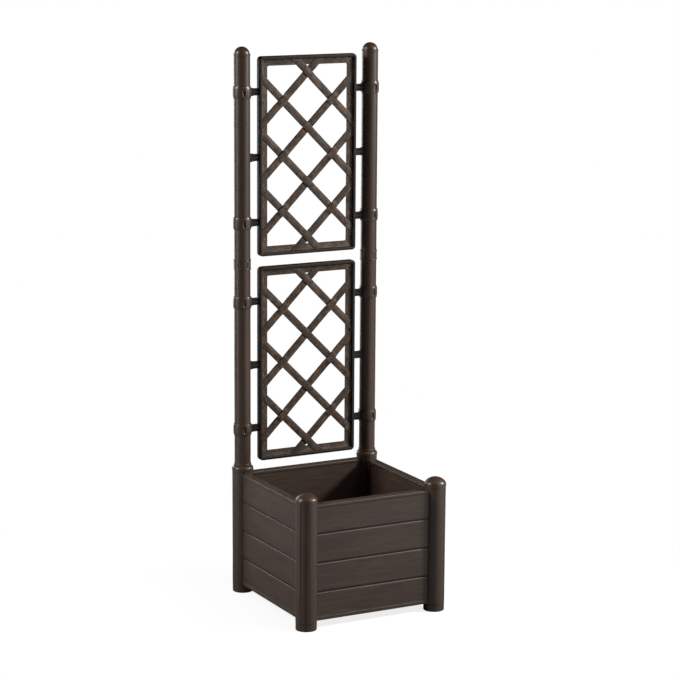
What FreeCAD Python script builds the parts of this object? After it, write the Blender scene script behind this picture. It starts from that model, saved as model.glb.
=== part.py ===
"""Square floor planter with a two-panel climbing trellis, in moulded plastic.

All sizes are in millimetres. +Z is up, +X runs right along the front wall, and the trellis
stands at the back, on the +Y side. The origin lies on the floor, under the middle of the box.
"""
import FreeCAD
import Part
import math
import os

V = FreeCAD.Vector
UP = V(0, 0, 1)

# ---- driving dimensions -------------------------------------------------------------------
post_pitch = 366.0          # between the post axes, the same both ways
slide_gap = 0.3             # clearance between pieces that slide into each other
past = 1.0                  # how far a cut runs past what it cuts

# corner posts
post_radius = 27.0
post_wall = 2.6
post_top = 326.0
core_bore = 11.0            # radius of the inner bore that every plug pushes into
core_wall = 2.2
strip_half_angle = 14.5     # half the width of the raised strip down the outer corner, degrees
strip_groove_width = 2.6
strip_groove_depth = 1.3

# feet
foot_height = 21.0
foot_radius = 26.7
foot_wall = 3.0
foot_rib = 3.0
foot_edge = 1.5
foot_plug_length = 30.0
foot_seam_height = 3.5      # the shadow line between the foot and its post
foot_seam_depth = 1.4

# wall panels
panel_thickness = 21.0
panel_skin = 4.0
panel_end_gap = 0.4         # between the hollowed end of a panel and the round post
panel_web = 3.0
panel_cells = 5
rim_top = 319.5
rim_height = 9.5
rim_overhang = 1.6
rim_edge = 3.0
rail_height = 10.0
rail_overhang = 0.6
rail_edge = 2.0
plank_pitch = 75.0
plank_grooves = 3
first_groove_drop = 74.5    # from the rim's top down to the first groove
groove_depth = 2.6
groove_lip = 1.2
groove_floor = 1.8
groove_round = 5.0          # height of the rounded edge below each groove
tongue_width = 12.0
tongue_length = 10.0

# floor plate
floor_level = 40.0
floor_thickness = 4.0
floor_side_gap = 0.6
floor_post_gap = 0.8
ledge_width = 9.0
ledge_height = 5.0
ledge_end_gap = 8.0
floor_rib_depth = 8.0
floor_rib_width = 3.0
floor_rib_count = 4
floor_rib_margin = 8.0
drain_radius = 4.0
drain_rows = 5
drain_spread = 240.0

# front post caps
cap_radius = 27.8
cap_band = 5.0
cap_rise = 19.0
cap_shoulder = 12.0
cap_wall = 2.6
cap_plug_length = 30.0

# poles, their sockets, joints and caps
pole_radius = 21.0
pole_wall = 1.6
pole_plug_wall = 2.5
socket_band = 4.0
socket_shoulder_rise = 8.0
socket_neck_radius = 22.6
socket_neck_rise = 6.5
socket_floor = 4.0
socket_plug_down = 90.0
socket_plug_up = 70.0
joint_drop = 4.0            # from the middle of the gap between the trellis panels to the joint's
joint_height = 26.0
joint_radius = 21.9
joint_bead_radius = 22.6
joint_bead_height = 3.2
joint_bead_round = 1.0
joint_plug_length = 45.0
joint_marks = 6
joint_mark_height = 13.0
joint_mark_width = 5.0
joint_mark_depth = 1.0
joint_mark_turn = 9.0       # degrees from straight ahead to the first mark
pole_cap_radius = 21.7
pole_cap_band = 5.6
pole_cap_round = 1.4
pole_cap_dome = 19.6
pole_cap_rise = 17.6
pole_cap_shoulder = 15.0
pole_cap_plug_length = 25.0

# trellis panels
trellis_width = 278.0
trellis_height = 510.0
trellis_clearance = 26.9    # from the wall's rim up to the lower panel
trellis_gap = 27.3          # between the lower and the upper panel
trellis_top_drop = 26.3     # from the tops of the pole caps down to the upper panel
trellis_set_forward = 3.5   # from the pole axes to the middle of the frame's depth
frame_depth = 16.5
frame_lip = 8.6
frame_corner = 10.0
frame_lip_round = 2.4
flange_width = 15.8
flange_thickness = 6.4
flange_recess = 5.6
flange_corner = 4.0
lattice_step = 70.5         # between crossings, both ways
slat_width = 18.8
slat_thickness = 4.0
slat_chamfer = 1.0
slat_proud = 1.2            # how far the slats stand in front of the flange
weave_height = 1.5
weave_flat = 13.0
weave_ramp = 7.0
peg_inset = 88.5            # from a panel's end to the middle of its outer pegs
peg_height = 18.0
peg_depth = 9.0
peg_web = 3.0
peg_rib_height = 4.0
peg_flare = 3.0
peg_flare_length = 9.0
ring_height = 31.0
ring_wall = 2.5
ring_edge_wall = 0.8
ring_flat = 18.0
ring_slot_width = 7.0
ring_slot_height = 20.0
ring_slot_turn = 10.0       # degrees outwards from straight ahead

# ---- sizes that follow from them ----------------------------------------------------------
half_pitch = post_pitch / 2
panel_half_length = half_pitch - post_radius - panel_end_gap
panel_face = panel_thickness / 2
groove_levels = [rim_top - first_groove_drop - i * plank_pitch for i in range(plank_grooves)]
inner_half = half_pitch - panel_face
slot_half_width = tongue_width / 2 + slide_gap
slot_floor = post_radius + panel_end_gap - tongue_length - slide_gap
plug_radius = core_bore - slide_gap
pole_bore = pole_radius - pole_wall
pole_plug_radius = pole_bore - slide_gap
pole_seat = post_top + socket_floor
frame_front = -trellis_set_forward - frame_depth / 2
frame_back = frame_front + frame_depth
flange_front = frame_front + flange_recess
slat_front = flange_front - slat_proud
lower_panel_middle = rim_top + trellis_clearance + trellis_height / 2
upper_panel_middle = lower_panel_middle + trellis_height + trellis_gap
overall_height = upper_panel_middle + trellis_height / 2 + trellis_top_drop
pole_top = overall_height - pole_cap_rise - pole_cap_band
joint_middle = (lower_panel_middle + upper_panel_middle) / 2 - joint_drop
joint_bottom = joint_middle - joint_height / 2
joint_top = joint_middle + joint_height / 2
peg_level = trellis_height / 2 - peg_inset
opening_half_width = trellis_width / 2 - frame_lip - flange_width
opening_half_height = trellis_height / 2 - frame_lip - flange_width
DIAGONAL = math.sqrt(0.5)   # how far a unit step at 45 degrees goes each way
ring_bore = pole_radius + slide_gap

CORNERS = {
    "front_left": (-half_pitch, -half_pitch, 0),
    "front_right": (half_pitch, -half_pitch, 90),
    "back_right": (half_pitch, half_pitch, 180),
    "back_left": (-half_pitch, half_pitch, 270),
}
SIDES = {"front": 0, "right": 90, "back": 180, "left": 270}


# ---- small helpers ------------------------------------------------------------------------
def box(x0, x1, y0, y1, z0, z1):
    """A block between two limits on each axis."""
    return Part.makeBox(x1 - x0, y1 - y0, z1 - z0, V(x0, y0, z0))


def rod(radius, z0, z1):
    """An upright round bar on the Z axis."""
    return Part.makeCylinder(radius, z1 - z0, V(0, 0, z0))


def tube(outer, inner, z0, z1):
    """An upright round tube on the Z axis."""
    return rod(outer, z0, z1).cut(rod(inner, z0 - past, z1 + past))


def turned(solid, degrees):
    """A copy turned about the Z axis."""
    copy = solid.copy()
    copy.rotate(V(0, 0, 0), UP, degrees)
    return copy


def moved(solid, x, y, z=0.0):
    """A copy shifted by the given amounts."""
    copy = solid.copy()
    copy.translate(V(x, y, z))
    return copy


def outline(start, steps, place):
    """A closed wire from a start point, straight steps (a, b) and arcs (middle, end)."""
    edges = []
    here = start
    last = steps[-1][1] if isinstance(steps[-1][0], tuple) else steps[-1]
    closing = [] if last == start else [start]
    for step in steps + closing:
        if isinstance(step[0], tuple):
            middle, end = step
            edges.append(Part.Arc(place(*here), place(*middle), place(*end)).toShape())
        else:
            end = step
            edges.append(Part.LineSegment(place(*here), place(*end)).toShape())
        here = end
    return Part.Wire(edges)


def spun(start, steps):
    """A solid of revolution about Z from an outline in radius and height."""
    wire = outline(start, steps, lambda radius, height: V(radius, 0, height))
    return Part.Face(wire).revolve(V(0, 0, 0), UP, 360)


def along_x(start, steps, x0, x1):
    """A bar along X with the given outline in Y and Z."""
    wire = outline(start, steps, lambda y, z: V(x0, y, z))
    return Part.Face(wire).extrude(V(x1 - x0, 0, 0))


def rounded_bar(x0, x1, y_half, z0, z1, radius):
    """A bar along X whose four long edges are rounded."""
    bow = radius * (1 - DIAGONAL)
    start = (radius - y_half, z0)
    steps = [
        (y_half - radius, z0),
        ((y_half - bow, z0 + bow), (y_half, z0 + radius)),
        (y_half, z1 - radius),
        ((y_half - bow, z1 - bow), (y_half - radius, z1)),
        (radius - y_half, z1),
        ((bow - y_half, z1 - bow), (-y_half, z1 - radius)),
        (-y_half, z0 + radius),
        ((bow - y_half, z0 + bow), start),
    ]
    return along_x(start, steps, x0, x1)


def rounded_sheet(width, height, corner, y0, y1, middle):
    """An upright sheet in the XZ plane with round corners, from y0 to y1."""
    sheet = box(-width / 2, width / 2, y0, y1, middle - height / 2, middle + height / 2)
    depth_edges = [edge for edge in sheet.Edges if abs(edge.tangentAt(0).y) > 0.9]
    return sheet.makeFillet(corner, depth_edges)


def dome(radius, rise, shoulder, base):
    """A low dome on a base level: a tight shoulder arc that runs into a flatter crown arc."""
    crown = ((radius - shoulder) ** 2 + rise ** 2 - shoulder ** 2) / (2 * (rise - shoulder))
    hub = radius - shoulder
    sweep = math.atan2(crown - rise, hub)
    top_angle = math.pi / 2 - math.atan2(hub, crown - rise)
    meet = (crown * math.cos(top_angle), base + rise - crown + crown * math.sin(top_angle))
    bend = (hub + shoulder * math.cos(sweep / 2), base + shoulder * math.sin(sweep / 2))
    half = (top_angle + math.pi / 2) / 2
    peak = (crown * math.cos(half), base + rise - crown + crown * math.sin(half))
    return spun((0, base), [(radius, base), (bend, meet), (peak, (0, base + rise))])


def export(solid, name):
    """Write one piece as parts/NAME.step."""
    solid.exportStep("parts/" + name + ".step")
    print(name, "solids", len(solid.Solids), "volume", round(solid.Volume / 1000, 1), "cm3")


# ---- corner post, foot and caps -----------------------------------------------------------
def strip_grooves(outer, z0, z1):
    """The two V grooves that mark off the strip down the outer corner, toward -X and -Y."""
    grooves = []
    for side in (-1, 1):
        groove = Part.Face(outline(
            (outer + past, -strip_groove_width),
            [(outer + past, strip_groove_width), (outer - strip_groove_depth, 0)],
            lambda x, y: V(x, y, z0),
        )).extrude(V(0, 0, z1 - z0))
        grooves.append(turned(groove, 225 + side * strip_half_angle))
    return grooves


def corner_post():
    """A round hollow post with a bore down its middle and a slot for each panel's tongue."""
    z0, z1 = foot_height, post_top
    channel_back = slot_floor - post_wall
    channel_half = slot_half_width + post_wall
    post = tube(post_radius, post_radius - post_wall, z0, z1)
    stiffening = [tube(core_bore + core_wall, core_bore, z0, z1)]
    for turn in (0, 90):
        channel = box(channel_back, post_radius, -channel_half, channel_half, z0, z1)
        bridge = box(core_bore + core_wall / 2, channel_back + post_wall / 2,
                     -core_bore / 2, core_bore / 2, z0, z1)
        stiffening += [turned(channel.common(rod(post_radius, z0, z1)), turn), turned(bridge, turn)]
    for turn in (45, 180, 225, 270):
        web = box(core_bore + core_wall / 2, post_radius - post_wall / 2,
                  -core_wall / 2, core_wall / 2, z0, z1)
        stiffening.append(turned(web, turn))
    post = post.fuse(stiffening)
    slot = box(slot_floor, post_radius + past, -slot_half_width, slot_half_width, z0 - past, z1 + past)
    cuts = [turned(slot, turn) for turn in (0, 90)]
    cuts.append(rod(core_bore, z0 - past, z1 + past))
    cuts += strip_grooves(post_radius, z0 - past, z1 + past)
    return post.cut(cuts).removeSplitter()


def foot():
    """A ribbed cup under the post, with a plug that pushes up into the post's bore."""
    solid = rod(foot_radius, 0, foot_height)
    floor_edges = [edge for edge in solid.Edges if edge.BoundBox.ZMax < foot_edge / 2]
    solid = solid.makeFillet(foot_edge, floor_edges)
    seam = tube(foot_radius + past, foot_radius - foot_seam_depth, foot_height - foot_seam_height,
                foot_height + past)
    hollow = rod(foot_radius - foot_wall, -past, foot_height - foot_wall - foot_seam_height)
    solid = solid.cut([seam, hollow])
    reach = foot_radius - foot_wall / 2
    rib = box(-reach, reach, -foot_rib / 2, foot_rib / 2, 0, foot_height - foot_wall)
    ribs = [turned(rib, turn) for turn in (45, 135)]
    plug = tube(plug_radius, plug_radius - core_wall, foot_height - foot_wall / 2,
                foot_height + foot_plug_length)
    solid = solid.fuse(ribs + [plug])
    return solid.cut(strip_grooves(foot_radius, -past, foot_height + past)).removeSplitter()


def post_cap():
    """A domed shell on a short upright band, with a plug for the post's bore."""
    base = post_top + cap_band
    outer = rod(cap_radius, post_top, base).fuse(dome(cap_radius, cap_rise, cap_shoulder, base))
    inner = rod(cap_radius - cap_wall, post_top - past, base)
    inner = inner.fuse(dome(cap_radius - cap_wall, cap_rise - cap_wall, cap_shoulder - cap_wall, base))
    plug = tube(plug_radius, plug_radius - core_wall, post_top - cap_plug_length, base + cap_rise)
    below = rod(cap_radius, post_top - cap_plug_length - past, post_top)
    plug = plug.common(below.fuse(outer))
    return outer.cut(inner).fuse(plug).removeSplitter()


# ---- wall panel and floor plate -----------------------------------------------------------
def plank_groove(level):
    """One groove between two planks, cut into the outer face: sharp above, rounded below."""
    face = -panel_face
    deep = face + groove_depth
    foot_of_round = level - groove_floor - groove_round
    bow = 1 - DIAGONAL
    middle = (face + groove_depth * bow, level - groove_floor - groove_round * bow)
    steps = [
        (face, level + groove_lip),
        (deep, level),
        (deep, level - groove_floor),
        (middle, (face, foot_of_round)),
    ]
    outside = face - past
    return along_x((outside, level + groove_lip), steps + [(outside, foot_of_round)],
                   -half_pitch - past, half_pitch + past)


def wall_panel():
    """A hollow plank wall with a rim, a bottom rail, a tongue at each end and an inner ledge."""
    half = panel_half_length
    wall = box(-half_pitch, half_pitch, -panel_face, panel_face, foot_height, rim_top - rim_height / 2)
    wall = wall.cut([plank_groove(level) for level in groove_levels])
    rim = rounded_bar(-half_pitch, half_pitch, panel_face + rim_overhang, rim_top - rim_height,
                      rim_top, rim_edge)
    rail = rounded_bar(-half_pitch, half_pitch, panel_face + rail_overhang, foot_height,
                       foot_height + rail_height, rail_edge)
    beside_post = rod(post_radius + panel_end_gap, foot_height - past, post_top)
    wall = wall.fuse([rim, rail]).cut([moved(beside_post, side * half_pitch, 0) for side in (-1, 1)])
    tongue_reach = half + tongue_length
    tongue = box(-tongue_reach, tongue_reach, -tongue_width / 2, tongue_width / 2,
                 foot_height, post_top - slide_gap)
    over_rim = box(-half, half, -tongue_width, tongue_width, rim_top, post_top)
    ledge_half = inner_half - ledge_width - ledge_end_gap
    ledge = box(-ledge_half, ledge_half, panel_face - panel_skin / 2, panel_face + ledge_width,
                floor_level - ledge_height, floor_level)
    panel = wall.fuse([tongue, ledge]).cut(over_rim)
    cell = (2 * half - panel_web) / panel_cells
    hollows = []
    for i in range(panel_cells):
        x0 = -half + panel_web + i * cell
        hollows.append(box(x0, x0 + cell - panel_web, panel_skin - panel_face,
                           panel_face - panel_skin, foot_height - past, rim_top - panel_skin))
    return panel.cut(hollows).removeSplitter()


def floor_plate():
    """The loose plate that carries the soil: notched at the posts, drained and ribbed below."""
    half = inner_half - floor_side_gap
    top = floor_level + floor_thickness
    plate = box(-half, half, -half, half, floor_level, top)
    rib_half = inner_half - ledge_width - floor_rib_margin
    ribs = []
    for i in range(floor_rib_count):
        place = (rib_half - floor_rib_width / 2) * (2 * i / (floor_rib_count - 1) - 1)
        rib = box(place - floor_rib_width / 2, place + floor_rib_width / 2, -rib_half, rib_half,
                  floor_level - floor_rib_depth, floor_level + floor_thickness / 2)
        ribs += [rib, turned(rib, 90)]
    plate = plate.fuse(ribs)
    below = floor_level - floor_rib_depth - past
    corner_notch = rod(post_radius + floor_post_gap, below, top + past)
    cuts = [moved(corner_notch, x, y) for x, y, turn in CORNERS.values()]
    drain = rod(drain_radius, below, top + past)
    step = drain_spread / (drain_rows - 1)
    places = [i * step - drain_spread / 2 for i in range(drain_rows)]
    cuts += [moved(drain, x, y) for x in places for y in places]
    return plate.cut(cuts).removeSplitter()


# ---- poles --------------------------------------------------------------------------------
def pole_socket():
    """The shouldered collar on a back post: it plugs into the post and takes the lower pole."""
    bore = plug_radius - core_wall
    shoulder_foot = post_top + socket_band
    shoulder_top = shoulder_foot + socket_shoulder_rise
    run = cap_radius - socket_neck_radius
    bulge = (socket_neck_radius + run * DIAGONAL, shoulder_foot + socket_shoulder_rise * DIAGONAL)
    neck_top = shoulder_top + socket_neck_rise
    lip = socket_neck_radius - ring_bore
    lip_bend = (ring_bore + lip * DIAGONAL, neck_top - lip * (1 - DIAGONAL))
    steps = [
        (plug_radius, post_top - socket_plug_down),
        (plug_radius, post_top),
        (cap_radius, post_top),
        (cap_radius, shoulder_foot),
        (bulge, (socket_neck_radius, shoulder_top)),
        (socket_neck_radius, neck_top - lip),
        (lip_bend, (ring_bore, neck_top)),
        (ring_bore, pole_seat),
        (pole_plug_radius, pole_seat),
        (pole_plug_radius, pole_seat + socket_plug_up),
        (pole_plug_radius - pole_plug_wall, pole_seat + socket_plug_up),
        (pole_plug_radius - pole_plug_wall, pole_seat),
        (bore, pole_seat),
    ]
    return spun((bore, post_top - socket_plug_down), steps)


def pole(z0, z1):
    """One thin-walled pole."""
    return tube(pole_radius, pole_bore, z0, z1)


def oval_cutter(width, height, depth_from, depth_to):
    """An upright oval bar that points along -Y, for marks and slots in round pieces."""
    middle = box(-width / 2, width / 2, -depth_to, -depth_from, (width - height) / 2, (height - width) / 2)
    ends = []
    for side in (-1, 1):
        end = Part.makeCylinder(width / 2, depth_to - depth_from, V(0, -depth_to, 0), V(0, 1, 0))
        ends.append(moved(end, 0, 0, side * (height - width) / 2))
    return middle.fuse(ends)


def pole_joint():
    """The beaded band between two poles, with a plug up and down and marks round it."""
    band = rod(joint_radius, joint_bottom, joint_top)
    beads = []
    for z0 in (joint_bottom, joint_top - joint_bead_height):
        bead = rod(joint_bead_radius, z0, z0 + joint_bead_height)
        beads.append(bead.makeFillet(joint_bead_round, bead.Edges[0:1] + bead.Edges[2:3]))
    plug = rod(pole_plug_radius, joint_bottom - joint_plug_length, joint_top + joint_plug_length)
    mark = moved(oval_cutter(joint_mark_width, joint_mark_height,
                             joint_radius - joint_mark_depth, joint_bead_radius + past),
                 0, 0, joint_middle)
    cuts = [turned(mark, joint_mark_turn + i * 360 / joint_marks) for i in range(joint_marks)]
    cuts.append(rod(pole_plug_radius - pole_plug_wall, joint_bottom - joint_plug_length - past,
                    joint_top + joint_plug_length + past))
    return band.fuse(beads + [plug]).cut(cuts).removeSplitter()


def pole_cap():
    """The dome on a slightly wider band that closes the top of a pole."""
    base = pole_top + pole_cap_band
    band = rod(pole_cap_radius, pole_top, base)
    band = band.makeFillet(pole_cap_round, band.Edges[0:1] + band.Edges[2:3])
    crown = dome(pole_cap_dome, pole_cap_rise, pole_cap_shoulder, base)
    plug = rod(pole_plug_radius, pole_top - pole_cap_plug_length, base)
    hollow = rod(pole_plug_radius - pole_plug_wall, pole_top - pole_cap_plug_length - past, base)
    return band.fuse([crown, plug]).cut(hollow).removeSplitter()


# ---- trellis ------------------------------------------------------------------------------
def trellis_frame():
    """The raised lip all round and the recessed flange inside it, about the height z = 0."""
    lip_width = trellis_width - 2 * frame_lip
    lip_height = trellis_height - 2 * frame_lip
    lip = rounded_sheet(trellis_width, trellis_height, frame_corner, frame_front, frame_back, 0)
    lip_hole = rounded_sheet(lip_width, lip_height, frame_corner - frame_lip + flange_corner,
                             frame_front - past, frame_back + past, 0)
    lip = lip.cut(lip_hole)
    front_edges = [edge for edge in lip.Edges if edge.BoundBox.YMax < frame_front + frame_depth / 2]
    lip = lip.makeFillet(frame_lip_round, front_edges)
    overlap = frame_lip / 2
    flange = rounded_sheet(lip_width + overlap, lip_height + overlap, frame_corner / 2,
                           flange_front, flange_front + flange_thickness, 0)
    hole = rounded_sheet(2 * opening_half_width, 2 * opening_half_height, flange_corner,
                         flange_front - past, flange_front + flange_thickness + past, 0)
    return lip.fuse(flange.cut(hole))


def slat(offset, rise):
    """One diagonal slat with chamfered front edges; rise is +1 for / and -1 for a falling one."""
    half = slat_width / 2
    back = slat_front + slat_thickness
    reach = trellis_height
    steps = [
        (half, back),
        (half, slat_front + slat_chamfer),
        (half - slat_chamfer, slat_front),
        (slat_chamfer - half, slat_front),
        (-half, slat_front + slat_chamfer),
    ]
    wire = outline((-half, back), steps, lambda z, y: V(-reach, y, z))
    bar = Part.Face(wire).extrude(V(2 * reach, 0, 0))
    bar.rotate(V(0, 0, 0), V(0, 1, 0), -45 * rise)
    return moved(bar, 0, 0, offset)


def weave_pad(x, z, rise):
    """The swelling on the strand that passes in front at a crossing."""
    half = slat_width / 2 - slat_chamfer
    long_half = weave_flat + weave_ramp
    steps = [
        (-weave_flat, slat_front - weave_height),
        (weave_flat, slat_front - weave_height),
        (long_half, slat_front + slat_chamfer),
    ]
    start = (-long_half, slat_front + slat_chamfer)
    wire = outline(start, steps, lambda along, y: V(along, y, -half))
    pad = Part.Face(wire).extrude(V(0, 0, 2 * half))
    pad.rotate(V(0, 0, 0), V(0, 1, 0), -45 * rise)
    return moved(pad, x, 0, z)


def lattice():
    """Slats both ways that run across the flange into the lip, woven column by column.

    The falling slats pass in front at the middle column of crossings and the rising ones beside it.
    """
    reach = opening_half_width + opening_half_height - slat_width
    count = int((reach / lattice_step + 1) / 2)
    odd_steps = range(1 - 2 * count, 2 * count, 2)
    pieces = []
    for rising in odd_steps:
        pieces += [slat(rising * lattice_step, 1), slat(rising * lattice_step, -1)]
        for falling in odd_steps:
            column = (falling - rising) // 2
            x, z = column * lattice_step, (falling + rising) / 2 * lattice_step
            if abs(x) < opening_half_width and abs(z) < opening_half_height:
                pieces.append(weave_pad(x, z, 1 if column % 2 else -1))
    half_width = (trellis_width - frame_lip) / 2
    half_height = (trellis_height - frame_lip) / 2
    window = box(-half_width, half_width, slat_front - weave_height, frame_back,
                 -half_height, half_height)
    return pieces[0].fuse(pieces[1:]).common(window)


def pole_ring(side):
    """A barrel-shaped ring that threads onto a pole, with an oval slot facing forwards."""
    edge = ring_bore + ring_edge_wall
    swell = ring_bore + ring_wall
    steps = [
        (edge, -ring_height / 2),
        (swell, -ring_flat / 2),
        (swell, ring_flat / 2),
        (edge, ring_height / 2),
        (ring_bore, ring_height / 2),
    ]
    ring = spun((ring_bore, -ring_height / 2), steps)
    slot = oval_cutter(ring_slot_width, ring_slot_height, 0, swell + past)
    return moved(ring.cut(turned(slot, side * ring_slot_turn)), side * half_pitch, 0)


def peg(side):
    """A ribbed peg from the frame's lip to the pole, flared where it meets the ring."""
    start = trellis_width / 2 - frame_lip / 2
    end = half_pitch - ring_bore / 2
    flare_from = half_pitch - ring_bore - ring_wall - peg_flare_length
    low = peg_height / 2
    high = low + peg_flare
    wire = outline(
        (start, -low),
        [(flare_from, -low), (end, -high), (end, high), (flare_from, low), (start, low)],
        lambda x, z: V(side * x, -trellis_set_forward - peg_web / 2, z),
    )
    web = Part.Face(wire).extrude(V(0, peg_web, 0))
    left, right = sorted((side * start, side * end))
    rib = box(left, right, -trellis_set_forward - peg_depth / 2, -trellis_set_forward + peg_depth / 2,
              -peg_rib_height / 2, peg_rib_height / 2)
    return web.fuse(rib).cut(moved(rod(ring_bore, -peg_height, peg_height), side * half_pitch, 0))


def trellis_panel(middle):
    """One whole trellis moulding at its height on the poles."""
    pieces = [lattice()]
    for side in (-1, 1):
        for level in (-peg_level, 0, peg_level):
            pieces.append(moved(peg(side), 0, 0, level))
            if level:
                pieces.append(moved(pole_ring(side), 0, 0, level))
    panel = trellis_frame().fuse(pieces).removeSplitter()
    return moved(panel, 0, half_pitch, middle)


# ---- the assembly -------------------------------------------------------------------------
def main():
    os.makedirs("parts", exist_ok=True)
    post, cup, cap, socket = corner_post(), foot(), post_cap(), pole_socket()
    for corner, (x, y, turn) in CORNERS.items():
        export(moved(turned(post, turn), x, y), "corner_post_" + corner)
        export(moved(turned(cup, turn), x, y), "foot_" + corner)
        if y < 0:
            export(moved(cap, x, y), "post_cap_" + corner)
        else:
            export(moved(socket, x, y), "pole_socket_" + corner.split("_")[1])
    panel = wall_panel()
    for side, turn in SIDES.items():
        export(turned(moved(panel, 0, -half_pitch), turn), "wall_panel_" + side)
    export(floor_plate(), "floor_plate")
    poles = {
        "pole_lower": pole(pole_seat, joint_bottom),
        "pole_joint": pole_joint(),
        "pole_upper": pole(joint_top, pole_top),
        "pole_cap": pole_cap(),
    }
    for side, x in (("left", -half_pitch), ("right", half_pitch)):
        for name, solid in poles.items():
            export(moved(solid, x, half_pitch), name + "_" + side)
    export(trellis_panel(lower_panel_middle), "trellis_lower")
    export(trellis_panel(upper_panel_middle), "trellis_upper")


main()
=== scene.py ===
"""The looks of a square plastic planter with a two-panel climbing trellis.

Lengths are in metres and angles in degrees. +Z is up, the front faces -Y, and the trellis stands
between two poles at the back.
"""
import functools
import math

import bmesh
import bpy
from mathutils import Matrix, Vector

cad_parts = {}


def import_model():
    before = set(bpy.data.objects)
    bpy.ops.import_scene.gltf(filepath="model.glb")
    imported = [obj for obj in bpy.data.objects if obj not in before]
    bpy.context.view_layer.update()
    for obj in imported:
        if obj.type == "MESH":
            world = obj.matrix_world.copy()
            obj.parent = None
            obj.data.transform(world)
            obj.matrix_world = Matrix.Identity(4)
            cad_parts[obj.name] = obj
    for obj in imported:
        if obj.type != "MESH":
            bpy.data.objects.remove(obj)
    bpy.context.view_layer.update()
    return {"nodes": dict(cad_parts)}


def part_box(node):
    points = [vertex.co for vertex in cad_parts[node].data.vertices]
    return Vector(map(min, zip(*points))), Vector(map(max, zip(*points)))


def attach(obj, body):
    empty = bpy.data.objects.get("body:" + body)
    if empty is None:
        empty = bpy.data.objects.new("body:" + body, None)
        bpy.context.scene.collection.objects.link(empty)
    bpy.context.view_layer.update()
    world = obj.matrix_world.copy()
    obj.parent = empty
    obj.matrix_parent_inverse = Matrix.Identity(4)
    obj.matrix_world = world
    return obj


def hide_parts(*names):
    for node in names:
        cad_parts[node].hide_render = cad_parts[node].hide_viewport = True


# ---- camera: where the photograph was taken from ------------------------------------------
CAMERA_PLACE = (-2.793, -5.305, 1.886)
CAMERA_YAW = 27.8
CAMERA_PITCH = 11.32
CAMERA_ROLL = 0.34
CAMERA_LENS = 127.6
SENSOR = 36.0

# ---- trellis panel ------------------------------------------------------------------------
FRAME_LIP = 0.0086          # the raised rim round a trellis panel
FRAME_DEPTH = 0.0165
FRAME_CORNER = 0.010
LIP_ROUND = 0.0025
FLANGE_WIDTH = 0.0158       # the ledge inside the rim that the slats run onto
FLANGE_RECESS = 0.0056      # how far the ledge lies behind the rim's front
FLANGE_THICKNESS = 0.0064
OPENING_CORNER = 0.004      # the least radius of the ledge's corners
LIP_CORNER = 0.0015         # and of the rim's
PANEL_FORWARD = 0.0035      # from the pole axes to the middle of the frame's depth
TRELLIS_WIDTH = 0.278       # over the frame, without its pegs
LATTICE_STEP = 0.0705       # between crossings, both ways
CROSSINGS_EACH_WAY = 4      # along one slat, counted from the panel's middle line
SLAT_WIDTH = 0.0188
SLAT_THICKNESS = 0.0040
SLAT_PROUD = 0.0010         # how far a slat's front stands out from the ledge before the weave
SLAT_EDGE = 0.0009          # width of the bevel along a slat's front edges
SLAT_BEVEL = 0.3            # where the bevel's middle line lies, as a share of that
SLAT_GAP = 0.0002           # between a slat's end and the lip
WEAVE_RISE = 0.0019         # how far a slat stands out where it passes over another
WEAVE_DIP = 0.4 * WEAVE_RISE    # and how far it lies back where it passes under one
WEAVE_FLAT = 0.0115         # half the length of the flat part at a crossing
WEAVE_RAMP = 0.0075         # length of the slope at each end of it
PEG_INSET = 0.0885          # from a panel's top or bottom to the middle of its nearest pegs
PEG_HEIGHT = 0.018
PEG_DEPTH = 0.009           # of the ribs, from front to back
PEG_WEB = 0.003
PEG_RIB = 0.004
PEG_FLARE = 0.003           # how much a peg widens above and below at its ring
PEG_FLARE_LENGTH = 0.009
RING_HEIGHT = 0.031
RING_BORE = 0.0213          # radius
RING_WALL = 0.0025
RING_EDGE_WALL = 0.0009     # the wall at the ring's ends
RING_EYE_WIDTH = 0.0042     # half the width of the eye in each ring
RING_EYE_HEIGHT = 0.0105    # half its height
RING_EYE_TURN = 10.0        # degrees from the front, outwards
RING_TURNS = 120            # faces round a ring
RING_LEVELS = 30            # faces up a ring
BARREL_POWER = 3.5          # how late a ring's wall thins towards its ends
EYE_REACH = 0.72            # where the floor of the eye's hollow ends, in eye sizes from its middle
EYE_FADE = 0.30             # width of the hollow's slope, in eye sizes
EYE_DEPTH = 0.97            # share of the wall that the hollow takes away
BROW_REACH = 1.12           # the raised edge round the eye
BROW_WIDTH = 0.16
BROW_HEIGHT = 0.0006
POLE_RADIUS = 0.021
PEG_SINK = 0.9              # a peg ends at this share of the pole's radius
CORNER_STEPS = 6            # faces round each corner of the frame
ARC_STEPS = 4               # faces round each edge of the rim's front
EDGE_SOFT = 0.0006          # the bevel on the frame's other edges
SLAT_STEP = 0.0025          # length of one face along a slat
# the smooth material paints shade onto the frame's rim and the pegs as a darker brown
GRAINED, SMOOTH_PAINTED_DARK, TUBE = 0, 1, 2     # the trellis panel's materials
CROSSBAR_SHIFT = 5.0        # keeps the grain of the crossbars apart from that of the uprights
WEB_SHIFT = 3.0             # and likewise for a peg's web, its ribs and the rings
RIB_SHIFT = 4.0
RING_SHIFT = 6.0
BACK_SEAM = 0.005           # how much of the grain the back of the frame's rim takes up
SLAT_SPREAD = (13.0, 7.0)   # moves each slat to another place in the grain
TRELLIS_CREASE = 32.0       # edges sharper than this many degrees stay sharp
CAD_CREASE = 30.0

# ---- planks and colours -------------------------------------------------------------------
PLANK_PITCH = 0.075
GROOVES = 3
TOP_GROOVE = 0.2450
PLANK_PHASE = TOP_GROOVE - GROOVES * PLANK_PITCH    # one pitch below the lowest groove
PLANK_SHIFT = 3.7           # how far the grain moves on from one plank to the next
OUTER_SKIN = 0.180          # the wall panels' outer skins lie farther out than this
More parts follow.
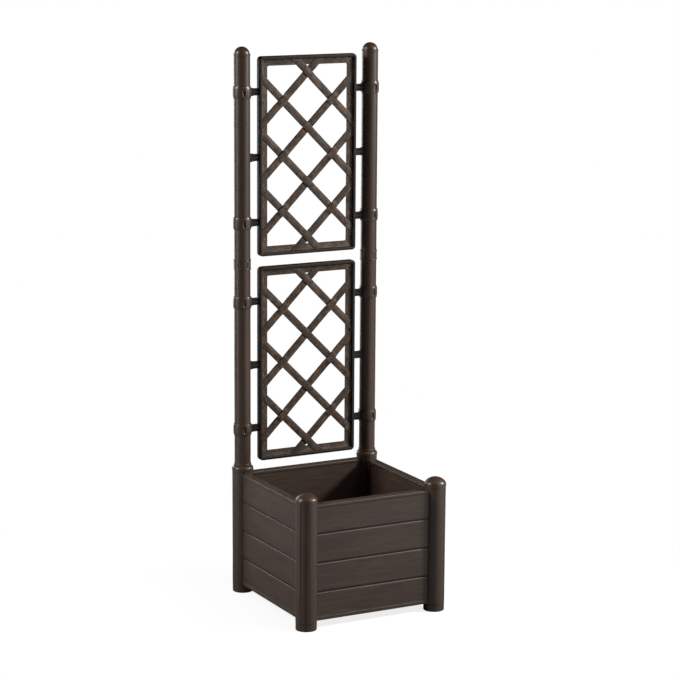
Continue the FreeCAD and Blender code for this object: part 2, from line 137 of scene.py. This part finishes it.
# heights over a groove's middle where its painted shade starts, is full, starts to fade and ends
GROOVE_PAINTED_SHADE_SPAN = (-0.0018, -0.0008, 0.0032, 0.0040)
# the dark brown painted in as shade in each groove
GROOVE_PAINTED_SHADE_BROWN = (0.006, 0.004, 0.003, 1)

# a dark, a middle and a light shade for each kind of surface
BROWN_SHADES = ((0.026, 0.0155, 0.0098, 1), (0.045, 0.0275, 0.0180, 1), (0.078, 0.050, 0.034, 1))
POLE_SHADES = ((0.029, 0.0162, 0.0094, 1), (0.049, 0.0285, 0.0172, 1), (0.082, 0.0495, 0.0310, 1))
SLAT_SHADES = ((0.015, 0.0085, 0.0048, 1), (0.051, 0.0302, 0.0180, 1), (0.118, 0.076, 0.048, 1))
# the trellis rim and pegs: the slats' own plastic in a far darker brown, as painted shade
RIM_PAINTED_SHADE_TONES = ((0.010, 0.0062, 0.0042, 1), (0.015, 0.0095, 0.0065, 1), (0.026, 0.0165, 0.0115, 1))

# name: (scale along and across the grain), detail, roughness, distortion
GRAIN_LAYERS = {
    "Streaks": ((14.0, 230.0, 230.0), 5.0, 0.62, 0.6),
    "Fine": ((55.0, 850.0, 850.0), 3.0, 0.6, 0.3),
    "Clouds": ((5.0, 22.0, 22.0), 3.0, 0.5, 0.4),
}
SLAT_GRAIN = (6.0, 1.7, 1.0)    # the trellis's grain is shorter and finer than the planks'
CLOUD_SHARE = 0.35          # of the colour's pattern
FINE_SHARE = 0.4            # of the relief
NOISE_SPAN = (0.3, 0.7)     # between which nearly all of a noise's values lie
VALLEY_ROUGHER = 0.08
RIDGE_SMOOTHER = 0.05
PLASTIC_IOR = 1.48

# ---- floor, world and lamps ---------------------------------------------------------------
FLOOR_HALF = 12.0
FLOOR_BOUNCE = 0.3          # the floor's grey for all but the camera
FLOOR_NEAR = 0.25           # what the lamps and shadows add to it near the object
FLOOR_GLOW = 0.82           # and its own white there
FLOOR_FADE = (0.45, 1.1)    # distances over which it turns into plain white
FILL = 0.03                 # the even white light from all round
# name: azimuth from the front towards +X, distance, height, aim height, width, tall, brightness
LAMPS = {
    "key_right": (62.0, 3.0, 2.1, 0.6, 0.5, 0.5, 185.0),
    "key_left": (-102.0, 2.8, 2.2, 0.6, 0.6, 0.9, 42.0),
    "softbox_right": (62.0, 2.7, 0.9, 0.7, 1.0, 1.9, 1.2),
    "softbox_left": (-102.0, 2.7, 0.9, 0.7, 0.8, 1.8, 3.2),
    "front_card": (28.0, 1.4, 0.6, 0.7, 0.9, 1.2, 0.9),
    "top": (28.0, 1.9, 2.7, 0.4, 1.5, 1.2, 1.8),
    "back": (188.0, 3.0, 1.0, 0.7, 1.8, 1.6, 4.0),
}


# ---- small helpers ------------------------------------------------------------------------
def node(tree, kind, inputs=None, **settings):
    """One shader node with its settings and unlinked input values."""
    made = tree.nodes.new(kind)
    for name, value in settings.items():
        setattr(made, name, value)
    for name, value in (inputs or {}).items():
        made.inputs[name].default_value = value
    return made


def smooth_step(x):
    x = min(max(x, 0.0), 1.0)
    return x * x * (3 - 2 * x)


def new_piece(name, mesh_source, materials):
    """An object from a finished bmesh, shaded smooth except across sharp edges."""
    mesh = bpy.data.meshes.new(name)
    mesh_source.to_mesh(mesh)
    mesh_source.free()
    piece = bpy.data.objects.new(name, mesh)
    bpy.context.scene.collection.objects.link(piece)
    shade(mesh, TRELLIS_CREASE)
    for material in materials:
        mesh.materials.append(material)
    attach(piece, "root")
    return piece


def shade(mesh, crease):
    """Smooth shading with sharp edges where faces meet at more than the crease angle."""
    mesh.shade_smooth()
    mesh.set_sharp_from_angle(angle=math.radians(crease))


# ---- materials ----------------------------------------------------------------------------
def grain_group():
    """Embossed wood grain. The vector's X runs along the grain, in metres."""
    tree = bpy.data.node_groups.new("wood_grain", "ShaderNodeTree")
    tree.interface.new_socket("Vector", in_out="INPUT", socket_type="NodeSocketVector")
    for output in GRAIN_LAYERS:
        tree.interface.new_socket(output, in_out="OUTPUT", socket_type="NodeSocketFloat")
    start = node(tree, "NodeGroupInput")
    end = node(tree, "NodeGroupOutput")
    for output, (scale, detail, roughness, distortion) in GRAIN_LAYERS.items():
        stretch = node(tree, "ShaderNodeMapping", {"Scale": scale})
        noise = node(tree, "ShaderNodeTexNoise", {
            "Scale": 1.0, "Detail": detail, "Roughness": roughness, "Distortion": distortion})
        tree.links.new(start.outputs["Vector"], stretch.inputs["Vector"])
        tree.links.new(stretch.outputs["Vector"], noise.inputs["Vector"])
        tree.links.new(noise.outputs["Fac"], end.inputs[output])
    return tree


def grain_vector(tree, along, planked):
    """Coordinates with X along the grain, from the UV map or the object, shifted on each plank."""
    where = node(tree, "ShaderNodeTexCoord")
    if along == "UV":
        short = node(tree, "ShaderNodeMapping", {"Scale": SLAT_GRAIN})
        tree.links.new(where.outputs["UV"], short.inputs["Vector"])
        return short.outputs["Vector"]
    turn = {"X": (0, 0, 0), "Y": (0, 0, -math.pi / 2), "Z": (0, math.pi / 2, 0)}[along]
    mapped = node(tree, "ShaderNodeMapping", {"Rotation": turn})
    tree.links.new(where.outputs["Object"], mapped.inputs["Vector"])
    if not planked:
        return mapped.outputs["Vector"]
    split = node(tree, "ShaderNodeSeparateXYZ")
    level = node(tree, "ShaderNodeMath", {1: PLANK_PHASE}, operation="SUBTRACT")
    row = node(tree, "ShaderNodeMath", {1: PLANK_PITCH}, operation="DIVIDE")
    whole = node(tree, "ShaderNodeMath", operation="FLOOR")
    shift = node(tree, "ShaderNodeMath", {1: PLANK_SHIFT}, operation="MULTIPLY")
    push = node(tree, "ShaderNodeCombineXYZ")
    moved = node(tree, "ShaderNodeVectorMath", operation="ADD")
    tree.links.new(where.outputs["Object"], split.inputs["Vector"])
    tree.links.new(split.outputs["Z"], level.inputs[0])
    tree.links.new(level.outputs["Value"], row.inputs[0])
    tree.links.new(row.outputs["Value"], whole.inputs[0])
    tree.links.new(whole.outputs["Value"], shift.inputs[0])
    tree.links.new(shift.outputs["Value"], push.inputs["X"])
    tree.links.new(mapped.outputs["Vector"], moved.inputs[0])
    tree.links.new(push.outputs["Vector"], moved.inputs[1])
    return moved.outputs["Vector"]


def outside_walls(tree, place):
    """1 on the outer skins of the wall panels, 0 on their inner faces."""
    farther = node(tree, "ShaderNodeMath", operation="MAXIMUM")
    for i, axis in enumerate("XY"):
        size = node(tree, "ShaderNodeMath", operation="ABSOLUTE")
        tree.links.new(place.outputs[axis], size.inputs[0])
        tree.links.new(size.outputs["Value"], farther.inputs[i])
    outside = node(tree, "ShaderNodeMath", {1: OUTER_SKIN}, operation="GREATER_THAN")
    tree.links.new(farther.outputs["Value"], outside.inputs[0])
    return outside.outputs["Value"]


def paint_groove_shade(tree, colour):
    """Paints shade into each groove between planks, and over the edge above it."""
    where = node(tree, "ShaderNodeTexCoord")
    place = node(tree, "ShaderNodeSeparateXYZ")
    level = node(tree, "ShaderNodeMath", {1: PLANK_PHASE}, operation="SUBTRACT")
    within = node(tree, "ShaderNodeMath", {1: PLANK_PITCH / 2, 2: -PLANK_PITCH / 2}, operation="WRAP")
    start, full, still_full, end = GROOVE_PAINTED_SHADE_SPAN
    fade_in = node(tree, "ShaderNodeMapRange", {"From Min": start, "From Max": full})
    fade_out = node(tree, "ShaderNodeMapRange", {"From Min": end, "From Max": still_full})
    above_first = node(tree, "ShaderNodeMath", {1: PLANK_PHASE + PLANK_PITCH / 2},
                       operation="GREATER_THAN")
    below_last = node(tree, "ShaderNodeMath", {1: PLANK_PHASE + (GROOVES + 0.5) * PLANK_PITCH},
                      operation="LESS_THAN")
    tree.links.new(where.outputs["Object"], place.inputs["Vector"])
    tree.links.new(place.outputs["Z"], level.inputs[0])
    tree.links.new(level.outputs["Value"], within.inputs[0])
    for fade in (fade_in, fade_out):
        tree.links.new(within.outputs["Value"], fade.inputs["Value"])
    for limit in (above_first, below_last):
        tree.links.new(place.outputs["Z"], limit.inputs[0])
    share = fade_in.outputs["Result"]
    for other in (fade_out.outputs["Result"], above_first.outputs["Value"],
                  below_last.outputs["Value"], outside_walls(tree, place)):
        both = node(tree, "ShaderNodeMath", operation="MULTIPLY")
        tree.links.new(share, both.inputs[0])
        tree.links.new(other, both.inputs[1])
        share = both.outputs["Value"]
    mix = node(tree, "ShaderNodeMix", data_type="RGBA")
    mix.inputs["B"].default_value = GROOVE_PAINTED_SHADE_BROWN
    tree.links.new(share, mix.inputs["Factor"])
    tree.links.new(colour, mix.inputs["A"])
    return mix.outputs["Result"]


def grain_colour(tree, grain, contrast, shades):
    """Streaks between a darker and a lighter brown, with slow clouds over them."""
    dark, middle, light = shades
    tone = node(tree, "ShaderNodeMix", {"Factor": CLOUD_SHARE}, data_type="FLOAT")
    tree.links.new(grain.outputs["Streaks"], tone.inputs["A"])
    tree.links.new(grain.outputs["Clouds"], tone.inputs["B"])
    spread = node(tree, "ShaderNodeMapRange", {
        "From Min": 0.5 - 0.5 / contrast, "From Max": 0.5 + 0.5 / contrast})
    tree.links.new(tone.outputs["Result"], spread.inputs["Value"])
    ramp = node(tree, "ShaderNodeValToRGB")
    ramp.color_ramp.elements[0].color = dark
    ramp.color_ramp.elements[1].color = light
    ramp.color_ramp.elements.new(0.5).color = middle
    tree.links.new(spread.outputs["Result"], ramp.inputs["Fac"])
    return ramp.outputs["Color"]


def grain_roughness(tree, grain, roughness):
    """The valleys of the grain are rougher than its ridges."""
    polish = node(tree, "ShaderNodeMapRange", {
        "From Min": NOISE_SPAN[0], "From Max": NOISE_SPAN[1],
        "To Min": roughness + VALLEY_ROUGHER, "To Max": roughness - RIDGE_SMOOTHER})
    tree.links.new(grain.outputs["Fine"], polish.inputs["Value"])
    return polish.outputs["Result"]


def grain_relief(tree, grain, emboss):
    """The embossed surface: streaks and fine grain together."""
    height = node(tree, "ShaderNodeMix", {"Factor": FINE_SHARE}, data_type="FLOAT")
    tree.links.new(grain.outputs["Streaks"], height.inputs["A"])
    tree.links.new(grain.outputs["Fine"], height.inputs["B"])
    bump = node(tree, "ShaderNodeBump", {"Strength": 1.0, "Distance": emboss})
    tree.links.new(height.outputs["Result"], bump.inputs["Height"])
    return bump.outputs["Normal"]


def plastic(name, along, emboss, contrast, roughness, planked=False, shades=BROWN_SHADES, gloss=0.5):
    """Dark brown moulded plastic with embossed grain along one axis, or along the UV map's U."""
    material = bpy.data.materials.new(name)
    material.use_nodes = True
    tree = material.node_tree
    shader = tree.nodes["Principled BSDF"]
    shader.inputs["IOR"].default_value = PLASTIC_IOR
    shader.inputs["Specular IOR Level"].default_value = gloss
    grain = node(tree, "ShaderNodeGroup", node_tree=GRAIN)
    tree.links.new(grain_vector(tree, along, planked), grain.inputs["Vector"])
    colour = grain_colour(tree, grain, contrast, shades)
    # painted shade in the grooves between planks
    if planked:
        colour = paint_groove_shade(tree, colour)
    tree.links.new(colour, shader.inputs["Base Color"])
    tree.links.new(grain_roughness(tree, grain, roughness), shader.inputs["Roughness"])
    tree.links.new(grain_relief(tree, grain, emboss), shader.inputs["Normal"])
    return material


# ---- trellis panel in mesh ----------------------------------------------------------------
def rounded_loop(half_width, half_height, corner):
    """Points round a rounded rectangle in X and Z."""
    points = []
    for quarter, (sx, sz) in enumerate(((1, 1), (-1, 1), (-1, -1), (1, -1))):
        for i in range(CORNER_STEPS + 1):
            turn = math.radians(90 * (quarter + i / CORNER_STEPS))
            x = sx * (half_width - corner) + corner * math.cos(turn)
            z = sz * (half_height - corner) + corner * math.sin(turn)
            points.append((x, z))
    return points


def frame_profile():
    """The frame's section: (inwards from the outer edge, depth), with a rounded front."""
    front = -PANEL_FORWARD - FRAME_DEPTH / 2
    back = front + FRAME_DEPTH
    flange = front + FLANGE_RECESS
    flange_back = flange + FLANGE_THICKNESS
    inner = FRAME_LIP + FLANGE_WIDTH
    profile = [(EDGE_SOFT, back), (0.0, back - EDGE_SOFT)]
    turns = [math.radians(90 * i / ARC_STEPS) for i in range(ARC_STEPS + 1)]
    for turn in turns:
        profile.append((LIP_ROUND * (1 - math.cos(turn)), front + LIP_ROUND * (1 - math.sin(turn))))
    for turn in turns:
        profile.append((FRAME_LIP - LIP_ROUND * (1 - math.sin(turn)),
                        front + LIP_ROUND * (1 - math.cos(turn))))
    profile += [
        (FRAME_LIP, flange - EDGE_SOFT), (FRAME_LIP + EDGE_SOFT, flange),
        (inner - EDGE_SOFT, flange), (inner, flange + EDGE_SOFT),
        (inner, flange_back - EDGE_SOFT), (inner - EDGE_SOFT, flange_back),
        (FRAME_LIP + EDGE_SOFT, flange_back), (FRAME_LIP, flange_back + EDGE_SOFT),
        (FRAME_LIP, back - EDGE_SOFT), (FRAME_LIP - EDGE_SOFT, back),
    ]
    return profile


def add_frame(mesh, uv, half_width, half_height, place):
    """The lip and flange all round, with the UV map's U running along each bar."""
    rings = []
    across = 0.0
    last = None
    for inwards, depth in frame_profile():
        least = OPENING_CORNER if inwards > FRAME_LIP else LIP_CORNER
        corner = max(FRAME_CORNER - inwards, least)
        loop = rounded_loop(half_width - inwards, half_height - inwards, corner)
        if last:
            across += math.hypot(inwards - last[0], depth - last[1])
        last = (inwards, depth)
        rings.append((across, inwards, [mesh.verts.new(place((x, depth, z))) for x, z in loop]))
    closing = rings + [(across + BACK_SEAM, 0.0, rings[0][2])]
    middle_of_panel = place((0, 0, 0))
    for (v0, inwards0, ring0), (v1, inwards1, ring1) in zip(closing, closing[1:]):
        on_flange = inwards0 > FRAME_LIP and inwards1 > FRAME_LIP
        count = len(ring0)
        for i in range(count):
            j = (i + 1) % count
            face = mesh.faces.new((ring0[i], ring0[j], ring1[j], ring1[i]))
            face.material_index = GRAINED if on_flange else SMOOTH_PAINTED_DARK
            middle = face.calc_center_median() - middle_of_panel
            upright = abs(middle.x) / half_width > abs(middle.z) / half_height
            bar = 1 if middle.x + middle.z > 0 else 2
            for corner, v in zip(face.loops, (v0, v0, v1, v1)):
                spot = corner.vert.co - middle_of_panel
                along = spot.z if upright else spot.x + CROSSBAR_SHIFT
                corner[uv].uv = (along, v + bar)


def slat_lift(along, crossings):
    """How far a slat stands out at a distance along it: over some crossings and under others."""
    lift = 0.0
    for at, over in crossings:
        near = 1 - smooth_step((abs(along - at) - WEAVE_FLAT) / WEAVE_RAMP)
        lift += near * (WEAVE_RISE if over else -WEAVE_DIP)
    return lift


def slat_section():
    """The slat's outline across it, as (across, depth), with bevelled front edges."""
    half = SLAT_WIDTH / 2
    corner = SLAT_EDGE * SLAT_BEVEL
    return [(-half, SLAT_THICKNESS), (-half, SLAT_EDGE), (-half + corner, corner),
            (-half + SLAT_EDGE, 0), (half - SLAT_EDGE, 0), (half - corner, corner),
            (half, SLAT_EDGE), (half, SLAT_THICKNESS)]


def crossings_on(offset, rise, half_x, half_z):
    """Each crossing's place along a slat, and whether the slat passes over the other one there."""
    crossings = []
    for k in range(-CROSSINGS_EACH_WAY, CROSSINGS_EACH_WAY + 1):
        x = k * LATTICE_STEP
        z = offset + rise * x
        if abs(z) < half_z + LATTICE_STEP and abs(x) < half_x:
            crossings.append((x * math.sqrt(2), (k % 2 == 0) == (rise < 0)))
    return crossings


def trim(part, half_x, half_z):
    """Cuts a closed mesh off at the panel's four inner limits and closes the cuts."""
    for spot, normal in (((half_x, 0, 0), (1, 0, 0)), ((-half_x, 0, 0), (-1, 0, 0)),
                         ((0, 0, half_z), (0, 0, 1)), ((0, 0, -half_z), (0, 0, -1))):
        everything = part.verts[:] + part.edges[:] + part.faces[:]
        cut = bmesh.ops.bisect_plane(part, geom=everything, plane_co=spot, plane_no=normal,
                                     clear_outer=True)
        rim = [e for e in cut["geom_cut"] if isinstance(e, bmesh.types.BMEdge)]
        if rim:
            bmesh.ops.edgeloop_fill(part, edges=rim)


def slat_reach(offset, rise, half_x, half_z):
    """Where a slat starts and ends along itself, a little past the panel's inner limits."""
    ends = sorted(((-half_z - offset) * rise, (half_z - offset) * rise))
    low = max(-half_x, ends[0]) - SLAT_WIDTH
    high = min(half_x, ends[1]) + SLAT_WIDTH
    return low * math.sqrt(2), high * math.sqrt(2)


def copy_into(mesh, uv, part, part_uv, place):
    """Copies a finished part and its UV map into the panel's mesh."""
    copied = {v: mesh.verts.new(place(v.co)) for v in part.verts}
    for face in part.faces:
        made = mesh.faces.new([copied[v] for v in face.verts])
        for old, new in zip(face.loops, made.loops):
            new[uv].uv = old[part_uv].uv


def add_slat(mesh, uv, offset, rise, limits, place):
    """One woven diagonal slat: rise is 1 for a slat that climbs to the right, -1 for the other."""
    half_x, half_z = limits
    front = -PANEL_FORWARD - FRAME_DEPTH / 2 + FLANGE_RECESS - SLAT_PROUD
    direction = Vector((1, 0, rise)).normalized()
    side = Vector((-rise, 0, 1)).normalized()
    origin = Vector((0, 0, offset))
    crossings = crossings_on(offset, rise, half_x, half_z)
    section = slat_section()
    low, high = slat_reach(offset, rise, half_x, half_z)
    steps = int((high - low) / SLAT_STEP)
    part = bmesh.new()
    part_uv = part.loops.layers.uv.new("grain")
    rows = []
    for i in range(steps + 1):
        along = low + (high - low) * i / steps
        lift = slat_lift(along, crossings)
        row = []
        for across, depth in section:
            spot = origin + direction * along + side * across
            spot.y = front + depth - lift
            row.append(part.verts.new(spot))
        rows.append((along, row))
    u_shift = offset * SLAT_SPREAD[0]
    v_shift = offset * SLAT_SPREAD[1]
    for (u0, row0), (u1, row1) in zip(rows, rows[1:]):
        for k in range(len(section)):
            n = (k + 1) % len(section)
            face = part.faces.new((row0[k], row1[k], row1[n], row0[n]))
            v0, v1 = section[k][0], section[n][0]
            for corner, (u, v) in zip(face.loops, ((u0, v0), (u1, v0), (u1, v1), (u0, v1))):
                corner[part_uv].uv = (u + u_shift, v + v_shift + rise)
    part.faces.new(rows[0][1])
    part.faces.new(list(reversed(rows[-1][1])))
    trim(part, half_x, half_z)
    copy_into(mesh, uv, part, part_uv, place)
    part.free()


def add_block(mesh, uv, corners, depths, shift, place):
    """A closed block between four (x, z) corners and two depths, with U along X."""
    front = [mesh.verts.new(place((x, depths[0], z))) for x, z in corners]
    back = [mesh.verts.new(place((x, depths[1], z))) for x, z in corners]
    faces = [front, list(reversed(back))]
    for i in range(4):
        j = (i + 1) % 4
        faces.append([front[j], front[i], back[i], back[j]])
    for loop in faces:
        face = mesh.faces.new(loop)
        face.material_index = SMOOTH_PAINTED_DARK
        for corner in face.loops:
            spot = corner.vert.co
            corner[uv].uv = (spot.x + shift, spot.z + spot.y)


def add_peg(mesh, uv, side, half_width, pole_x, place):
    """A peg from the frame to the pole: an upright web, flared at the ring, and three ribs on it."""
    start = half_width - FRAME_LIP / 2
    end = pole_x - POLE_RADIUS * PEG_SINK
    flare = pole_x - RING_BORE - RING_WALL - PEG_FLARE_LENGTH
    low, high = PEG_HEIGHT / 2, PEG_HEIGHT / 2 + PEG_FLARE
    web = (-PANEL_FORWARD - PEG_WEB / 2, -PANEL_FORWARD + PEG_WEB / 2)
    rib = (-PANEL_FORWARD - PEG_DEPTH / 2, -PANEL_FORWARD + PEG_DEPTH / 2)
    for x0, z0, x1, z1 in ((start, low, flare, low), (flare, low, end, high)):
        corners = [(side * x0, -z0), (side * x1, -z1), (side * x1, z1), (side * x0, z0)]
        add_block(mesh, uv, corners, web, WEB_SHIFT, place)
    middle_half, edge_half = PEG_RIB / 2, PEG_RIB / 4
    edge = low - edge_half
    for level, half in ((0.0, middle_half), (edge, edge_half), (-edge, edge_half)):
        corners = [(side * start, level - half), (side * end, level - half),
                   (side * end, level + half), (side * start, level + half)]
        add_block(mesh, uv, corners, rib, RIB_SHIFT, place)


def ring_radius(turn, level):
    """The ring's outer radius: a barrel with a raised eye round an oval hollow."""
    edge = abs(level) / (RING_HEIGHT / 2)
    wall = RING_EDGE_WALL + (RING_WALL - RING_EDGE_WALL) * (1 - edge ** BARREL_POWER)
    across = turn * (RING_BORE + RING_WALL) / RING_EYE_WIDTH
    reach = math.hypot(across, level / RING_EYE_HEIGHT)
    eye = 1 - smooth_step((reach - EYE_REACH) / EYE_FADE)
    brow = math.exp(-((reach - BROW_REACH) / BROW_WIDTH) ** 2)
    return RING_BORE + wall * (1 - EYE_DEPTH * eye) + BROW_HEIGHT * brow * (1 - edge)


def add_ring(mesh, uv, side, pole_x, place):
    """One ring round a pole, as a fine grid in turn and height."""
    eye_at = math.radians(RING_EYE_TURN) * side
    turns = [2 * math.pi * i / RING_TURNS for i in range(RING_TURNS)]

    def spot(turn, radius, level):
        x = side * pole_x + radius * math.sin(turn)
        return mesh.verts.new(place((x, -radius * math.cos(turn), level)))

    rows = []
    for j in range(RING_LEVELS + 1):
        level = RING_HEIGHT * (j / RING_LEVELS - 0.5)
        row = []
        for turn in turns:
            off = (turn - eye_at + math.pi) % (2 * math.pi) - math.pi
            row.append(spot(turn, ring_radius(off, level), level))
        rows.append(row)
    for level in (RING_HEIGHT / 2, -RING_HEIGHT / 2):
        rows.append([spot(turn, RING_BORE, level) for turn in turns])
    closing = rows + [rows[0]]
    for row0, row1 in zip(closing, closing[1:]):
        for i in range(RING_TURNS):
            j = (i + 1) % RING_TURNS
            face = mesh.faces.new((row0[i], row0[j], row1[j], row1[i]))
            face.material_index = TUBE
            for corner in face.loops:
                at = corner.vert.co
                corner[uv].uv = (at.z, at.x + at.y + RING_SHIFT)


def trellis_panel(name, cad_node, materials):
    """A whole trellis panel in place of its CAD node."""
    low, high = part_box(cad_node)
    pole_low, pole_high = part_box("pole_upper_right")
    pole_x = (pole_low.x + pole_high.x) / 2
    pole_y = (pole_low.y + pole_high.y) / 2
    middle = Vector((0, pole_y, (low.z + high.z) / 2))
    half_height = (high.z - low.z) / 2
    half_width = TRELLIS_WIDTH / 2
    mesh = bmesh.new()
    uv = mesh.loops.layers.uv.new("grain")

    def place(spot, up=0.0):
        x, y, z = spot
        return middle + Vector((x, y, z + up))

    add_frame(mesh, uv, half_width, half_height, place)
    limits = (half_width - FRAME_LIP - SLAT_GAP, half_height - FRAME_LIP - SLAT_GAP)
    reach = half_width + half_height - 2 * (FRAME_LIP + FLANGE_WIDTH) - SLAT_WIDTH
    count = int((reach / LATTICE_STEP + 1) / 2)
    for odd in range(1 - 2 * count, 2 * count, 2):
        for rise in (1, -1):
            add_slat(mesh, uv, odd * LATTICE_STEP, rise, limits, place)
    for side in (-1, 1):
        for level in (PEG_INSET - half_height, 0.0, half_height - PEG_INSET):
            at_level = functools.partial(place, up=level)
            add_peg(mesh, uv, side, half_width, pole_x, at_level)
            if level:
                add_ring(mesh, uv, side, pole_x, at_level)
    bmesh.ops.recalc_face_normals(mesh, faces=mesh.faces[:])
    piece = new_piece(name, mesh, materials)
    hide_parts(cad_node)


# ---- CAD nodes that stay: their materials -------------------------------------------------
def finish_nodes(materials):
    """Gives every CAD node its plastic and smooth shading."""
    for name, item in frame["nodes"].items():
        if name.startswith("wall_panel"):
            key = "panel_x" if name.endswith(("front", "back")) else "panel_y"
        elif name == "floor_plate":
            key = "panel_x"
        elif name.startswith(("pole_", "post_cap")):
            key = "pole"
        else:
            key = "post"
        shade(item.data, CAD_CREASE)
        item.data.materials.clear()
        item.data.materials.append(materials[key])


# ---- stage, lights and camera -------------------------------------------------------------
def grey(level):
    """An opaque grey of one brightness."""
    return (level, level, level, 1)


def floor_white():
    """White paper for the camera with the object's soft shadow near it, and grey for all else."""
    material = bpy.data.materials.new("floor_white")
    material.use_nodes = True
    tree = material.node_tree
    tree.nodes.clear()
    out = node(tree, "ShaderNodeOutputMaterial")
    paper = node(tree, "ShaderNodeBsdfDiffuse", {"Color": grey(FLOOR_BOUNCE)})
    near = node(tree, "ShaderNodeBsdfDiffuse", {"Color": grey(FLOOR_NEAR)})
    glow = node(tree, "ShaderNodeEmission", {"Color": grey(1), "Strength": FLOOR_GLOW})
    white = node(tree, "ShaderNodeEmission", {"Color": grey(1), "Strength": 1.0})
    shadowed = node(tree, "ShaderNodeAddShader")
    where = node(tree, "ShaderNodeTexCoord")
    reach = node(tree, "ShaderNodeVectorMath", operation="LENGTH")
    away = node(tree, "ShaderNodeMapRange", {"From Min": FLOOR_FADE[0], "From Max": FLOOR_FADE[1]},
                interpolation_type="SMOOTHSTEP")
    seen = node(tree, "ShaderNodeMixShader")
    path = node(tree, "ShaderNodeLightPath")
    pick = node(tree, "ShaderNodeMixShader")
    tree.links.new(where.outputs["Object"], reach.inputs[0])
    tree.links.new(reach.outputs["Value"], away.inputs["Value"])
    tree.links.new(near.outputs[0], shadowed.inputs[0])
    tree.links.new(glow.outputs[0], shadowed.inputs[1])
    tree.links.new(away.outputs["Result"], seen.inputs[0])
    tree.links.new(shadowed.outputs[0], seen.inputs[1])
    tree.links.new(white.outputs[0], seen.inputs[2])
    tree.links.new(path.outputs["Is Camera Ray"], pick.inputs[0])
    tree.links.new(paper.outputs[0], pick.inputs[1])
    tree.links.new(seen.outputs[0], pick.inputs[2])
    tree.links.new(pick.outputs[0], out.inputs["Surface"])
    return material


def stage():
    """A flat white floor, far wider than the picture."""
    mesh = bpy.data.meshes.new("floor")
    corners = [(x * FLOOR_HALF, y * FLOOR_HALF, 0) for x, y in ((-1, -1), (1, -1), (1, 1), (-1, 1))]
    mesh.from_pydata(corners, [], [(0, 1, 2, 3)])
    mesh.materials.append(floor_white())
    floor = bpy.data.objects.new("floor", mesh)
    bpy.context.scene.collection.objects.link(floor)


def world():
    """White behind the object, and a dimmer even fill on it."""
    made = bpy.data.worlds.new("studio")
    made.use_nodes = True
    tree = made.node_tree
    tree.nodes.clear()
    out = node(tree, "ShaderNodeOutputWorld")
    fill = node(tree, "ShaderNodeBackground", {"Color": grey(1), "Strength": FILL})
    white = node(tree, "ShaderNodeBackground", {"Color": grey(1), "Strength": 1.0})
    path = node(tree, "ShaderNodeLightPath")
    pick = node(tree, "ShaderNodeMixShader")
    tree.links.new(path.outputs["Is Camera Ray"], pick.inputs[0])
    tree.links.new(fill.outputs[0], pick.inputs[1])
    tree.links.new(white.outputs[0], pick.inputs[2])
    tree.links.new(pick.outputs[0], out.inputs["Surface"])
    bpy.context.scene.world = made


def lights():
    """A small bright key and a tall softbox at each side, and soft lights in front, above and behind."""
    for name, (azimuth, distance, height, aim, width, tall, brightness) in LAMPS.items():
        lamp = bpy.data.lights.new(name, "AREA")
        lamp.shape = "RECTANGLE"
        lamp.size, lamp.size_y = width, tall
        lamp.energy = brightness * math.pi * width * tall
        item = bpy.data.objects.new(name, lamp)
        bpy.context.scene.collection.objects.link(item)
        turn = math.radians(azimuth)
        item.location = (distance * math.sin(turn), -distance * math.cos(turn), height)
        facing = Vector((0, 0, aim)) - item.location
        item.rotation_euler = facing.to_track_quat("-Z", "Y").to_euler()
        item.visible_camera = False


def camera():
    """The photograph's camera."""
    data = bpy.data.cameras.new("camera")
    data.sensor_width = SENSOR
    data.lens = CAMERA_LENS
    item = bpy.data.objects.new("camera", data)
    bpy.context.scene.collection.objects.link(item)
    turn = Matrix.Rotation(math.radians(-CAMERA_YAW), 4, "Z")
    tilt = Matrix.Rotation(math.radians(90 - CAMERA_PITCH), 4, "X")
    roll = Matrix.Rotation(math.radians(CAMERA_ROLL), 4, "Z")
    item.matrix_world = Matrix.Translation(CAMERA_PLACE) @ turn @ tilt @ roll
    bpy.context.scene.camera = item


# ---- the scene ----------------------------------------------------------------------------
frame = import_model()
GRAIN = grain_group()
MATERIALS = {
    "panel_x": plastic("panel_plastic_x", "X", emboss=0.0004, contrast=1.9, roughness=0.46,
                       planked=True),
    "panel_y": plastic("panel_plastic_y", "Y", emboss=0.0004, contrast=1.9, roughness=0.46,
                       planked=True),
    "post": plastic("post_plastic", "Z", emboss=0.00010, contrast=1.3, roughness=0.42),
    "pole": plastic("pole_plastic", "Z", emboss=0.00003, contrast=1.2, roughness=0.35,
                    shades=POLE_SHADES),
    "slats": plastic("trellis_plastic", "UV", emboss=0.0010, contrast=4.5, roughness=0.58,
                     shades=SLAT_SHADES, gloss=0.3),
    # the rim and pegs, smooth, and darkened as painted shade
    "lips_painted_shade": plastic("trellis_rim_painted_shade_plastic", "UV", emboss=0.00005, contrast=1.4, roughness=0.40,
                    shades=RIM_PAINTED_SHADE_TONES, gloss=0.3),
}
finish_nodes(MATERIALS)
TRELLIS_MATERIALS = (MATERIALS["slats"], MATERIALS["lips_painted_shade"], MATERIALS["pole"])
trellis_panel("trellis_lower_woven", "trellis_lower", TRELLIS_MATERIALS)
trellis_panel("trellis_upper_woven", "trellis_upper", TRELLIS_MATERIALS)
stage()
world()
lights()
camera()
bpy.context.scene.view_settings.view_transform = "Standard"
